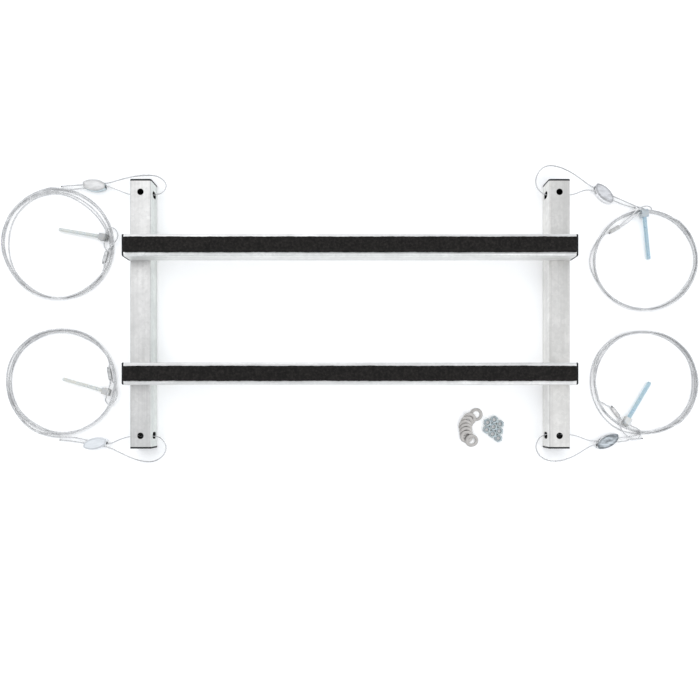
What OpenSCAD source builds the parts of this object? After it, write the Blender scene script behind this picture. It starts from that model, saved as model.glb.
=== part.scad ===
// Cable-hung equipment frame: two padded rails lie across two cross tubes. Each end of a cross tube
// hangs from a wire rope that is looped through it, held by a two-channel grip, and ends in an eye
// that carries a threaded stud. The ropes lie coiled beside the frame, as supplied.
// Millimetres, +Z up. The origin is the middle of the frame, on the surface that it lies on.

/* [Square tubes] */
// Outside width of the square tubes
tube_w = 38.1; // [36:0.1:42]
// Wall thickness of the tubes
tube_wall = 1.8; // [1.2:0.1:2.2]
// Outside radius of the tubes' long edges
tube_corner = 3.2; // [2.6:0.1:4]
// Length of each rail, without its end plugs
rail_len = 782; // [778:1:786]
// Length of each cross tube, without its end plugs
cross_len = 476; // [474:1:480]
// Distance between the centre lines of the two cross tubes
cross_spacing = 749; // [747:1:751]
// Distance between the centre lines of the two rails
rail_spacing = 222; // [180:1:240]
// Distance of the rails' middle line from the cross tubes' middle
rail_offset = 2.5; // [-10:0.5:10]
// Diameter of the holes in the top and underside near the ends of the cross tubes
end_hole_d = 11.5; // [9:0.5:13]
// Width of the tall cable holes in the sides of the cross tubes
side_hole_w = 12.5; // [9:0.5:13]
// Height of the tall cable holes
side_hole_h = 19; // [14:0.5:22]
// Distance from a cross tube's end to its holes
end_hole_inset = 20; // [19:0.5:21]

/* [End plugs and pads] */
// Thickness of an end plug's cover
plug_cover = 3; // [2:0.5:5]
// Depth of an end plug's skirt inside the tube
plug_depth = 8; // [5:1:9]
// Wall thickness of an end plug's skirt
plug_wall = 2; // [1.5:0.5:3]
// Length of each foam strip
pad_len = 779; // [700:1:782]
// Width of each foam strip
pad_w = 26; // [15:1:32]
// Thickness of each foam strip
pad_t = 6; // [3:0.5:10]

/* [Wire rope] */
// Diameter of the wire rope
rope_d = 2.4; // [1.6:0.1:2.6]
// Width of a coil's band of turns
coil_band_w = 8; // [6:0.5:8]
// Height of a coil's band of turns
coil_band_h = 4.8; // [4:0.1:5]
// Length of a ferrule
ferrule_len = 20; // [16:1:21]

/* [Cable grips] */
// Length of a grip's body between its cut ends, along the channels
grip_len = 40; // [39:1:42]
// Width of a grip's body
grip_w = 21; // [20.5:0.5:22]
// Height of a grip's body
grip_h = 12; // [11:0.5:14]
// Angle between a grip's long axis and its channels
grip_twist = 22; // [20:1:24]
// Distance between a grip's two channels
channel_spacing = 7; // [7:0.1:7.4]
// Diameter of a grip's channels
channel_d = 3.2; // [3:0.1:3.4]

/* [Studs] */
// Diameter of the studs' thread
stud_d = 8; // [6:0.5:8]
// Distance from the pivot in a stud's head to its tip
stud_reach = 86; // [60:1:88]
// Width of a stud's head, along its cross hole
stud_head_w = 12; // [10:0.5:12]
// Height of a stud's head
stud_head_h = 11; // [10:0.5:11]
// Distance from the cross hole to the end of the head where the rod starts
stud_head_reach = 9.5; // [8:0.5:12]
// Diameter of the cross hole for the cable eye
stud_hole_d = 4; // [3.4:0.2:4.4]

/* [Loose washers and nuts] */
// Outside diameter of a loose washer
washer_d = 24; // [20:0.5:24]
// Hole diameter of a loose washer
washer_hole_d = 12.5; // [8.5:0.5:13]
// Thickness of a loose washer
washer_t = 1.6; // [1:0.1:1.6]
// Width of a nut across its flats
nut_af = 13; // [12:0.5:13]
// Height of a nut
nut_h = 6.5; // [5:0.5:8]

/* [Hidden] */
$fn = 64;

// Crossing fasteners: an M8 bolt from inside the cross tube into a threaded insert in the rail
bolt_r = 4;
bolt_shank = 18;
bolt_head_h = 5.3;
crossing_washer_r = 8;
crossing_washer_t = 1.6;
access_hole_r = 9;
insert_r = 5.5;
insert_len = 15;
insert_collar_r = 7;
insert_collar_h = 3.5;
thread_gap = 0.05;

cross_x = cross_spacing / 2;
rail_ys = [rail_offset - rail_spacing / 2, rail_offset + rail_spacing / 2];
end_hole_y = cross_len / 2 - end_hole_inset;
bore_w = tube_w - 2 * tube_wall;
plug_gap = 0.2;
pad_z = 2 * tube_w;
crossings = [for (x = [-cross_x, cross_x], y = rail_ys) [x, y]];

// The four corners, in this order in every list below
CORNERS = ["back_left", "back_right", "front_left", "front_right"];
CORNER_NODES = [
    "grip_body", "wedge_standing", "wedge_tail", "grip_springs", "cable_lead",
    "cable_coil", "cable_eye", "ferrule", "stud_rod", "stud_head"
];
ENDS = ["front", "back"];
SIDES = ["left", "right"];

// Coils: centre and outside radius
coil_centre = [[-537, 134], [543, 102], [-531, -122], [543, -121]];
coil_r = [103.6, 96.8, 102.2, 98];

// Grips: centre, direction of the channels towards the coil, the side that the body's coil end leans
// to, and the side of the channel that holds the standing wire (1 is left of that direction)
grip_place = [[-469, 240], [466, 225], [-467, -233.5], [472.5, -229.5]];
grip_angle = [184, -24, 170, 7];
grip_lean = [-1, -1, 1, 1];
// The back left body lies almost along its channels
body_twist = [8, grip_twist, grip_twist, grip_twist];
standing_side = [1, 1, -1, 1];
grip_mid_z = grip_h / 2;
channel_y = channel_spacing / 2;
run_loop_end = -24;
run_coil_end = 36;

// The body's outline is the overlap of two circles, cut square to the channels at both ends
grip_tip_len = 52;
leaf_r = (grip_tip_len * grip_tip_len + grip_w * grip_w) / (4 * grip_w);
leaf_shift = leaf_r - grip_w / 2;

// Wedges, drawn for the channel on the +Y side: the thin end points along +X
wedge_x0 = 5;
wedge_x1 = 14;
wedge_face_y = channel_y + 1.35;
wedge_thin = 1.3;
wedge_thick = 2.85;
wedge_h = 5;
wedge_slope = (wedge_thick - wedge_thin) / (wedge_x1 - wedge_x0);
pocket_x0 = -1.5;
pocket_gap = 0.2;
spring_r = 1.25;
spring_bore_r = 0.8;
spring_gap = 0.05;

// Studs: the pivot's place, and the direction of the rod; the tip rests on the floor
stud_pivot = [[-450.5, 145, 5.8], [538, 190, 10.9], [-445.5, -139, 5.8], [507.5, -195, 5.8]];
stud_angle = [170, -82, 164, 59];
stud_tip_z = 4.2;
stud_chamfer = 1;
stud_root_x = 3.2;
stud_root_d = stud_d - 0.6;
stud_head_gap = 0.5;

// Ferrules: centre, direction towards the eye, and the side of the hole that the standing wire uses
ferrule_place = [[-451, 110], [488, 161], [-443, -106], [489, -176]];
ferrule_angle = [74, 30, -80, -53];
ferrule_side = [-1, 1, 1, -1];
ferrule_z = 2.4;
ferrule_r = 2.3;
ferrule_hole_r = 1.25;
ferrule_half_pitch = 1.45;
ferrule_run = 11.5;
stub_run = 13;

// Points along each rope, laid by hand. The straight runs through the grips, the ferrules and the
// stud heads come from those pieces' own places.
tail_points = [
    [[-532, 239.6, 3.2], [-518, 240.6, 5]],
    [[525, 199.5, 5], [511, 203, 5.8]],
    [[-535, -227.5, 3.2], [-518, -229, 5]],
    [[540, -224.5, 1.8], [523, -226.5, 2.9], [513, -226.8, 4.6]],
];
loop_points = [
    [
        [-427, 248.5, 9], [-405, 252.5, 13], [-384, 255, 16], [-365, 255, 18], [-350, 252.5, 19],
        [-339, 245.5, 19], [-334, 236.5, 19], [-336.5, 228, 19], [-343, 222, 19], [-351, 219.6, 19],
        [-399, 219.8, 19], [-411, 224, 15.5], [-424, 230, 11], [-436, 235.2, 7.5]
    ],
    [
        [434.5, 231.5, 8], [425, 228.5, 11], [413, 223, 15.5], [400, 218.8, 19], [356, 219, 19],
        [347, 224, 19], [340, 232.5, 19], [337.5, 244, 19], [341, 257, 19], [349.5, 267.5, 19],
        [362, 272, 19], [376, 271, 18], [393, 266, 16], [413, 256.5, 12.5], [431, 246, 8.5]
    ],
    [
        [-427, -248, 8.5], [-408, -256, 12], [-390, -262.5, 15], [-372, -266, 17.5], [-356, -265, 19],
        [-343.5, -258.5, 19], [-336, -249, 19], [-334.5, -238, 19], [-339.5, -227.5, 19],
        [-350, -220.5, 19], [-399, -220.5, 19], [-411, -223, 16], [-423, -227, 12], [-434, -231.5, 8]
    ],
    [
        [434, -242.5, 8.5], [418, -251.5, 11.5], [402, -259, 14.5], [385, -264, 17], [368, -265, 19],
        [352.5, -261, 19], [342, -251.5, 19], [338, -239.5, 19], [341, -228, 19], [349, -219, 19],
        [399, -217, 19], [411, -219, 16.5], [425, -223.5, 12], [437, -227.5, 8]
    ],
];
join_points = [
    [[-514, 233.2, 4.6], [-524, 232, 3.2]],
    [[515, 207, 6], [527, 202, 5.6], [536, 199.3, 4.6], [546, 196, 3.4]],
    [[-511, -222.6, 4.8], [-521, -221, 3.2]],
    [[520, -219.8, 4.8], [533, -216.6, 3.2]],
];
eye_start_points = [
    [[-454, 82, 2.4], [-453.8, 90, 2.4]],
    [[460.5, 140.5, 2.4], [467.5, 149.2, 2.4]],
    [[-446, -73, 2.4], [-444, -84, 2.4]],
    [[456.5, -151, 2.4], [465, -158.5, 2.4], [474, -164, 2.4]],
];
eye_out_points = [
    [
        [-441, 127, 5.5], [-432.5, 136, 6.4], [-427, 146, 6.4], [-428.5, 156, 6.4],
        [-435, 162.5, 6.8], [-443, 161.5, 6.6], [-448, 157, 6]
    ],
    [
        [506, 175.5, 3.6], [515, 183, 5.6], [524, 191.5, 8], [532, 198.5, 9.4], [540, 201.5, 9.4],
        [548, 201, 9.6], [552, 197, 10.4], [550.5, 192.5, 10.9]
    ],
    [
        [-434, -124, 5.5], [-429.5, -133, 6.4], [-428, -143, 6.4], [-430.5, -153, 6.4],
        [-436.5, -160, 6.4], [-444, -161, 6.4], [-449.5, -154, 6]
    ],
    [
        [495.5, -196, 4.5], [497.5, -204, 6.3], [502, -212.5, 6.7], [508.5, -219.5, 8],
        [517, -225, 8.4], [526, -225, 7.8], [533, -219.5, 6.8], [533.5, -211.5, 6.4],
        [527, -205.8, 6.1], [519.5, -202.3, 5.8]
    ],
];
eye_back_points = [
    [[-452.3, 129, 4]],
    [[521, 182, 8.2], [511, 173, 5]],
    [[-441.8, -124.5, 4]],
    [[498.4, -187.6, 4]],
];
// The end of the pivot run that the rope reaches first: 1 is left of the rod's direction
eye_entry_side = [-1, 1, 1, -1];
pivot_run = 8;

// Loose hardware: a leaning fan of washers, in the order in which they lie on each other, and a
// cluster of nuts
fan_place = [224, -228.5];
fan_steps = [[9, 48], [-3.8, 40], [-8.7, 33.5], [-11.9, 27], [-11, 20.5], [-10.3, 14], [-9.3, 7.2], [0, 0]];
fan_tilt = 15.5;
nut_place = [264, -203];
nut_turn = -7;
nut_gap = 0.3;
nut_bore_r = 3.4;
nut_chamfer = 0.75;
nut_columns = [[-1, [0.5, -0.5]], [0, [1, 0, -1]], [1, [0.5, -0.5, -1.5]]];

// A direction in the floor's plane, and the direction to its left
function heading(a) = [cos(a), sin(a), 0];
function left_of(a) = [-sin(a), cos(a), 0];
function at_height(p, z) = [p[0], p[1], z];
function unit(v) = v / norm(v);

// Two points on a straight run, from distance a to distance b along a direction
function run(centre, angle, side, a, b) = [
    for (t = [a, b]) centre + t * heading(angle) + side * left_of(angle)
];
function grip_run(c, side, a, b) =
    run(at_height(grip_place[c], grip_mid_z), grip_angle[c], side * channel_y, a, b);
function ferrule_line(c, side, a, b) =
    run(at_height(ferrule_place[c], ferrule_z), ferrule_angle[c], side * ferrule_half_pitch, a, b);
function pivot_line(c) = [
    for (s = [1, -1]) stud_pivot[c] + s * eye_entry_side[c] * pivot_run * left_of(stud_angle[c])
];

// The rope from its cut end, through the grip, round the cross tube's end, and back to the coil
function lead_route(c) = concat(
    tail_points[c],
    grip_run(c, -standing_side[c], run_coil_end, run_loop_end),
    loop_points[c],
    grip_run(c, standing_side[c], run_loop_end, run_coil_end),
    join_points[c]
);
// The rope from the coil, through the ferrule and the stud's head, and back into the ferrule
function eye_route(c) = concat(
    eye_start_points[c],
    ferrule_line(c, ferrule_side[c], -ferrule_run, ferrule_run),
    eye_out_points[c],
    pivot_line(c),
    eye_back_points[c],
    ferrule_line(c, -ferrule_side[c], ferrule_run, -stub_run)
);

// One ring of a swept tube, square to the route at point i
function route_direction(route, i) =
    unit(route[min(i + 1, len(route) - 1)] - route[max(i - 1, 0)]);
function rope_ring(route, i, sides) =
    let (along = route_direction(route, i), across = unit(cross(along, [0, 0, 1])), up = cross(across, along))
    [for (k = [0 : sides - 1]) let (a = 360 * k / sides) route[i] + rope_d / 2 * (cos(a) * across + sin(a) * up)];

module rope(route, sides = 8) {
    rings = len(route);
    polyhedron(
        points = [for (i = [0 : rings - 1]) each rope_ring(route, i, sides)],
        faces = concat(
            [[for (k = [0 : sides - 1]) k]],
            [
                for (i = [0 : rings - 2], k = [0 : sides - 1])
                    let (a = i * sides + k, b = i * sides + (k + 1) % sides)
                    each [[a, a + sides, b + sides], [a, b + sides, b]]
            ],
            [[for (k = [sides - 1 : -1 : 0]) (rings - 1) * sides + k]]
        ),
        convexity = 10
    );
}

module rounded_square(w, r) {
    square([w, w - 2 * r], center = true);
    square([w - 2 * r, w], center = true);
    for (x = [-1, 1], y = [-1, 1]) translate([x, y] * (w / 2 - r)) circle(r);
}

// A length of square tube along +X, centred on the origin
module square_tube(len) {
    rotate([90, 0, 90]) linear_extrude(len, center = true) difference() {
        rounded_square(tube_w, tube_corner);
        rounded_square(bore_w, tube_corner - tube_wall);
    }
}

module cross_tube(side) {
    color("gainsboro") translate([side * cross_x, 0, tube_w / 2]) difference() {
        rotate([0, 0, 90]) square_tube(cross_len);
        for (y = [-end_hole_y, end_hole_y]) translate([0, y, 0]) {
            cylinder(h = tube_w + 2, d = end_hole_d, center = true);
            hull() for (z = [-1, 1] * (side_hole_h - side_hole_w) / 2)
                translate([0, 0, z]) rotate([0, 90, 0]) cylinder(h = tube_w + 2, d = side_hole_w, center = true);
        }
        for (y = rail_ys) translate([0, y, 0]) {
            cylinder(h = tube_w, r = bolt_r + 0.5);
            translate([0, 0, -tube_w]) cylinder(h = tube_w, r = access_hole_r);
        }
    }
}

module rail(y) {
    color("gainsboro") translate([0, y, 1.5 * tube_w]) difference() {
        square_tube(rail_len);
        for (x = [-cross_x, cross_x]) translate([x, 0, -tube_w]) cylinder(h = tube_w, r = insert_r + thread_gap);
    }
}

module pad(y) {
    color("dimgray") translate([-pad_len / 2, y - pad_w / 2, pad_z]) cube([pad_len, pad_w, pad_t]);
}

// An end plug at the origin, its cover towards +X and its skirt towards -X
module end_plug() {
    skirt_w = bore_w - 2 * plug_gap;
    color("black") rotate([90, 0, 90]) {
        linear_extrude(plug_cover) rounded_square(tube_w, tube_corner);
        translate([0, 0, -plug_depth]) linear_extrude(plug_depth) difference() {
            rounded_square(skirt_w, tube_corner - tube_wall);
            square(skirt_w - 2 * plug_wall, center = true);
        }
    }
}

module cross_plug(side, end) {
    translate([side * cross_x, end * cross_len / 2, tube_w / 2]) rotate([0, 0, end * 90]) end_plug();
}

module rail_plug(y, side) {
    translate([side * rail_len / 2, y, 1.5 * tube_w]) rotate([0, 0, side > 0 ? 0 : 180]) end_plug();
}

// The underside of the cross tubes' upper wall, where the bolts' washers sit
crossing_seat_z = tube_w - tube_wall;

module crossing_bolts() {
    seat = crossing_seat_z - crossing_washer_t;
    color("silver") for (p = crossings) translate(p) {
        translate([0, 0, seat]) cylinder(h = bolt_shank, r = bolt_r);
        translate([0, 0, seat - bolt_head_h]) cylinder(h = bolt_head_h, r = nut_af / sqrt(3), $fn = 6);
    }
}

module crossing_washers() {
    color("silver") for (p = crossings) translate([p[0], p[1], crossing_seat_z - crossing_washer_t]) difference() {
        cylinder(h = crossing_washer_t, r = crossing_washer_r);
        translate([0, 0, -1]) cylinder(h = crossing_washer_t + 2, r = bolt_r + 0.2);
    }
}

// Threaded inserts, flush with the rails' undersides and upset behind the wall
module threaded_inserts() {
    color("darkgray") for (p = crossings) translate([p[0], p[1], tube_w]) difference() {
        union() {
            cylinder(h = insert_len, r = insert_r);
            translate([0, 0, tube_wall]) cylinder(h = insert_collar_h, r = insert_collar_r);
        }
        translate([0, 0, -1]) cylinder(h = insert_len + 2, r = bolt_r + thread_gap);
    }
}

module loose_washers() {
    lift = washer_d / 2 * sin(fan_tilt) + washer_t / 2 * cos(fan_tilt);
    color("lightgray") for (i = [0 : len(fan_steps) - 1]) {
        leaning = i > 0;
        translate([fan_place[0] + fan_steps[i][0], fan_place[1] + fan_steps[i][1], leaning ? lift : washer_t / 2])
            rotate([leaning ? fan_tilt : 0, 0, 0]) difference() {
                cylinder(h = washer_t, d = washer_d, center = true);
                cylinder(h = washer_t + 2, d = washer_hole_d, center = true);
            }
    }
}

// A hexagon nut with both faces chamfered to a circle
module nut() {
    corner_r = nut_af / sqrt(3);
    difference() {
        intersection() {
            cylinder(h = nut_h, r = corner_r, $fn = 6);
            rotate_extrude() polygon([
                [0, 0], [nut_af / 2 - 0.2, 0], [corner_r + 0.2, nut_chamfer],
                [corner_r + 0.2, nut_h - nut_chamfer], [nut_af / 2 - 0.2, nut_h], [0, nut_h]
            ]);
        }
        translate([0, 0, -1]) cylinder(h = nut_h + 2, r = nut_bore_r);
    }
}

module loose_nuts() {
    pitch = nut_af + nut_gap;
    color("silver") translate(nut_place) rotate(nut_turn)
        for (column = nut_columns, row = column[1])
            translate([column[0] * pitch * cos(30), row * pitch, 0]) nut();
}

// Places a grip's pieces: +X runs along the channels towards the coil, and z = 0 is mid height
module at_grip(c) {
    translate(at_height(grip_place[c], grip_mid_z)) rotate(grip_angle[c]) mirror([0, grip_lean[c] < 0 ? 1 : 0, 0])
        children();
}

// The two channels' fittings are one shape, turned half round
module in_each_channel(turned = [0, 180]) {
    for (a = turned) rotate(a) children();
}

function ramp_y(x) = wedge_face_y + wedge_thin + (wedge_x1 - x) * wedge_slope;

module wedge() {
    color("dimgray") translate([0, 0, -wedge_h / 2]) linear_extrude(wedge_h) polygon([
        [wedge_x0, wedge_face_y], [wedge_x1, wedge_face_y],
        [wedge_x1, ramp_y(wedge_x1)], [wedge_x0, ramp_y(wedge_x0)]
    ]);
}

module wedge_pocket() {
    far_x = wedge_x1 + 2 * pocket_gap;
    height = wedge_h + 2 * pocket_gap;
    translate([0, 0, -height / 2]) linear_extrude(height) polygon([
        [pocket_x0, channel_y + 0.8], [far_x, channel_y + 0.8],
        [far_x, ramp_y(far_x) + pocket_gap], [pocket_x0, ramp_y(pocket_x0) + pocket_gap]
    ]);
}

module leaf_outline(twist) {
    intersection() {
        rotate(twist) translate([0, leaf_shift]) circle(leaf_r, $fn = 128);
        rotate(twist) translate([0, -leaf_shift]) circle(leaf_r, $fn = 128);
        square([grip_len, 2 * grip_w], center = true);
    }
}

module grip_body(c) {
    color("lightsteelblue") at_grip(c) difference() {
        linear_extrude(grip_h, center = true) leaf_outline(body_twist[c]);
        in_each_channel() {
            translate([0, channel_y, 0]) rotate([0, 90, 0]) cylinder(h = 2 * grip_len, d = channel_d, center = true);
            wedge_pocket();
        }
    }
}

// The wedge beside the standing wire's channel, or beside the tail's
module grip_wedge(c, is_standing) {
    side = (is_standing ? 1 : -1) * standing_side[c] * grip_lean[c];
    at_grip(c) in_each_channel([side > 0 ? 0 : 180]) wedge();
}

module grip_springs(c) {
    mid_y = wedge_face_y + wedge_thick / 2;
    spring_len = wedge_x0 - pocket_x0 - 2 * spring_gap;
    color("silver") at_grip(c) in_each_channel()
        translate([pocket_x0 + spring_gap, mid_y, 0]) rotate([0, 90, 0]) difference() {
            cylinder(h = spring_len, r = spring_r);
            translate([0, 0, -1]) cylinder(h = spring_len + 2, r = spring_bore_r);
        }
}

module cable_lead(c) {
    color("lightgray") rope(lead_route(c));
}

module cable_coil(c) {
    color("lightgray") translate(coil_centre[c]) rotate_extrude($fn = 128)
        translate([coil_r[c] - coil_band_w, 0]) square([coil_band_w, coil_band_h]);
}

module cable_eye(c) {
    color("lightgray") rope(eye_route(c));
}

module ferrule(c) {
    color("silver") translate(at_height(ferrule_place[c], ferrule_z)) rotate(ferrule_angle[c]) rotate([90, 0, 90])
        linear_extrude(ferrule_len, center = true) difference() {
            union() {
                square([2 * ferrule_half_pitch, 2 * ferrule_r], center = true);
                for (y = [-1, 1]) translate([y * ferrule_half_pitch, 0]) circle(ferrule_r, $fn = 32);
            }
            for (y = [-1, 1]) translate([y * ferrule_half_pitch, 0]) circle(ferrule_hole_r, $fn = 32);
        }
}

// Places a stud's pieces: the pivot is the origin, the hole runs along Y and the rod along +X
module at_stud(c) {
    drop = asin((stud_pivot[c][2] - stud_tip_z) / stud_reach);
    translate(stud_pivot[c]) rotate([0, 0, stud_angle[c]]) rotate([0, drop, 0]) children();
}

module stud_rod(c) {
    thread_start = stud_head_reach + stud_head_gap;
    thread_end = stud_reach - stud_chamfer;
    color("powderblue") at_stud(c) rotate([0, 90, 0]) {
        translate([0, 0, stud_root_x]) cylinder(h = thread_start - stud_root_x, d = stud_root_d);
        translate([0, 0, thread_start]) cylinder(h = thread_end - thread_start, d = stud_d);
        translate([0, 0, thread_end]) cylinder(h = stud_chamfer, d1 = stud_d, d2 = stud_d - 1.6);
    }
}

module stud_head(c) {
    color("silver") at_stud(c) difference() {
        rotate([90, 0, 0]) linear_extrude(stud_head_w, center = true) {
            circle(d = stud_head_h);
            translate([0, -stud_head_h / 2]) square([stud_head_reach, stud_head_h]);
        }
        rotate([90, 0, 0]) cylinder(h = stud_head_w + 2, d = stud_hole_d, center = true);
        translate([stud_root_x, 0, 0]) rotate([0, 90, 0]) cylinder(h = stud_head_reach, d = stud_root_d);
    }
}

for (i = [0, 1]) {
    cross_tube(2 * i - 1);
    rail(rail_ys[i]);
    pad(rail_ys[i]);
    for (j = [0, 1]) {
        cross_plug(2 * i - 1, 2 * j - 1);
        rail_plug(rail_ys[i], 2 * j - 1);
    }
}
crossing_bolts();
crossing_washers();
threaded_inserts();
loose_washers();
loose_nuts();
for (c = [0 : len(CORNERS) - 1]) {
    grip_body(c);
    grip_wedge(c, true);
    grip_wedge(c, false);
    grip_springs(c);
    cable_lead(c);
    cable_coil(c);
    cable_eye(c);
    ferrule(c);
    stud_rod(c);
    stud_head(c);
}
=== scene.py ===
"""Looks for the cable-hung equipment frame: twisted wire ropes, threaded studs, cast grips, crimped
ferrules, foam strips and plated hardware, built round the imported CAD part. Meshes are worked out in
millimetres, which new_object turns into metres; looks, floor, lights and camera are in metres."""

import math

import bmesh
import bpy
import numpy as np
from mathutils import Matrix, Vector


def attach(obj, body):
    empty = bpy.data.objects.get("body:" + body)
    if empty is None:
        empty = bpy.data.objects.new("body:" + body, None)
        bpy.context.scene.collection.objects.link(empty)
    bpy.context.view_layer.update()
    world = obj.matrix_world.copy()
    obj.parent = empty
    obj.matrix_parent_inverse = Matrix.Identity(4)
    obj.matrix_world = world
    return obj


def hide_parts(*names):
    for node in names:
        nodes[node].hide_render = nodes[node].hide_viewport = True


MM = 0.001
SEED = 20261

# ---- Sizes and places, as in the CAD source (mm and degrees) ----
TUBE_W, BORE_W = 38.1, 34.5
CROSS_X = {"left": -374.5, "right": 374.5}
RAIL_YS = {"front": -108.5, "back": 113.5}
PAD_LEN, PAD_W, PAD_T = 779.0, 26.0, 6.0
PAD_Z = 2 * TUBE_W

ROPE_D = 2.4
FERRULE_LEN, FERRULE_Z, FERRULE_R, FERRULE_HALF_PITCH = 20.0, 2.4, 2.3, 1.45
FERRULE_RUN, STUB_RUN = 11.5, 13.0

GRIP_LEN, GRIP_W, GRIP_H, GRIP_TIP_LEN = 40.0, 21.0, 12.0, 52.0
CHANNEL_Y = 3.5
RUN_LOOP_END, RUN_COIL_END = -24.0, 36.0
SPRING_X0, SPRING_X1, SPRING_Y = -1.45, 4.95, 6.275

STUD_D, STUD_PITCH, STUD_REACH = 8.0, 1.25, 86.0
STUD_ROOT_X, STUD_TIP_Z = 3.2, 4.2
PIVOT_RUN = 8.0

WASHER_D, WASHER_HOLE_D, WASHER_T = 24.0, 12.5, 1.6
FAN_PLACE, FAN_TILT = (224.0, -228.5), 15.5
FAN_STEPS = [(9, 48), (-3.8, 40), (-8.7, 33.5), (-11.9, 27), (-11, 20.5), (-10.3, 14), (-9.3, 7.2), (0, 0)]

NUT_AF, NUT_H, NUT_GAP, NUT_TURN = 13.0, 6.5, 0.3, -7.0
NUT_PLACE = (264.0, -203.0)
NUT_COLUMNS = [(-1, (0.5, -0.5)), (0, (1, 0, -1)), (1, (0.5, -0.5, -1.5))]

CORNERS = ["back_left", "back_right", "front_left", "front_right"]
COIL_CENTRE = [(-537, 134), (543, 102), (-531, -122), (543, -121)]
COIL_R = [103.6, 96.8, 102.2, 98]
GRIP_PLACE = [(-469, 240), (466, 225), (-467, -233.5), (472.5, -229.5)]
GRIP_ANGLE = [184, -24, 170, 7]
GRIP_LEAN = [-1, -1, 1, 1]
BODY_TWIST = [8, 22, 22, 22]
STANDING_SIDE = [1, 1, -1, 1]
STUD_PIVOT = [(-450.5, 145, 5.8), (538, 190, 10.9), (-445.5, -139, 5.8), (507.5, -195, 5.8)]
STUD_ANGLE = [170, -82, 164, 59]
FERRULE_PLACE = [(-451, 110), (488, 161), (-443, -106), (489, -176)]
FERRULE_ANGLE = [74, 30, -80, -53]
FERRULE_SIDE = [-1, 1, 1, -1]
EYE_ENTRY_SIDE = [-1, 1, 1, -1]

TAIL_POINTS = [
    [(-532, 239.6, 3.2), (-518, 240.6, 5)],
    [(525, 199.5, 5), (511, 203, 5.8)],
    [(-535, -227.5, 3.2), (-518, -229, 5)],
    [(540, -224.5, 1.8), (523, -226.5, 2.9), (513, -226.8, 4.6)],
]
LOOP_POINTS = [
    [
        (-427, 248.5, 9), (-405, 252.5, 13), (-384, 255, 16), (-365, 255, 18), (-350, 252.5, 19),
        (-339, 245.5, 19), (-334, 236.5, 19), (-336.5, 228, 19), (-343, 222, 19), (-351, 219.6, 19),
        (-399, 219.8, 19), (-411, 224, 15.5), (-424, 230, 11), (-436, 235.2, 7.5),
    ],
    [
        (434.5, 231.5, 8), (425, 228.5, 11), (413, 223, 15.5), (400, 218.8, 19), (356, 219, 19),
        (347, 224, 19), (340, 232.5, 19), (337.5, 244, 19), (341, 257, 19), (349.5, 267.5, 19),
        (362, 272, 19), (376, 271, 18), (393, 266, 16), (413, 256.5, 12.5), (431, 246, 8.5),
    ],
    [
        (-427, -248, 8.5), (-408, -256, 12), (-390, -262.5, 15), (-372, -266, 17.5), (-356, -265, 19),
        (-343.5, -258.5, 19), (-336, -249, 19), (-334.5, -238, 19), (-339.5, -227.5, 19),
        (-350, -220.5, 19), (-399, -220.5, 19), (-411, -223, 16), (-423, -227, 12), (-434, -231.5, 8),
    ],
    [
        (434, -242.5, 8.5), (418, -251.5, 11.5), (402, -259, 14.5), (385, -264, 17), (368, -265, 19),
        (352.5, -261, 19), (342, -251.5, 19), (338, -239.5, 19), (341, -228, 19), (349, -219, 19),
        (399, -217, 19), (411, -219, 16.5), (425, -223.5, 12), (437, -227.5, 8),
    ],
]
# Unlike the CAD source's, these stop where the coil's turns begin, and some lie up to 1.8 mm higher
JOIN_POINTS = [
    [(-514, 233.2, 6.4)],
    [(515, 207, 6), (527, 202, 5.8), (536, 199.3, 5.0)],
    [(-511, -222.6, 5.4)],
    [(520, -219.8, 4.8)],
]
EYE_START_POINTS = [
    [(-454, 82, 2.4), (-453.8, 90, 2.4)],
    [(460.5, 140.5, 2.4), (467.5, 149.2, 2.4)],
    [(-446, -73, 2.4), (-444, -84, 2.4)],
    [(456.5, -151, 2.4), (465, -158.5, 2.4), (474, -164, 2.4)],
]
EYE_OUT_POINTS = [
    [
        (-441, 127, 5.5), (-432.5, 136, 6.4), (-427, 146, 6.4), (-428.5, 156, 6.4),
        (-435, 162.5, 6.8), (-443, 161.5, 6.6), (-448, 157, 6),
    ],
    [
        (506, 175.5, 3.6), (515, 183, 5.6), (524, 191.5, 8), (532, 198.5, 9.4), (540, 201.5, 9.4),
        (548, 201, 9.6), (552, 197, 10.4), (550.5, 192.5, 10.9),
    ],
    [
        (-434, -124, 5.5), (-429.5, -133, 6.4), (-428, -143, 6.4), (-430.5, -153, 6.4),
        (-436.5, -160, 6.4), (-444, -161, 6.4), (-449.5, -154, 6),
    ],
    [
        (495.5, -196, 4.5), (497.5, -204, 6.3), (502, -212.5, 6.7), (508.5, -219.5, 8),
        (517, -225, 8.4), (526, -225, 7.8), (533, -219.5, 6.8), (533.5, -211.5, 6.4),
        (527, -205.8, 6.1), (519.5, -202.3, 5.8),
    ],
]
EYE_BACK_POINTS = [
    [(-452.3, 129, 4)],
    [(521, 182, 8.2), (511, 173, 5)],
    [(-441.8, -124.5, 4)],
    [(498.4, -187.6, 4)],
]

# ---- The coils' turns, which the CAD source leaves out ----
LAY_STEP = 30  # degrees of travel between the numbers in COIL_LAY
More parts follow.
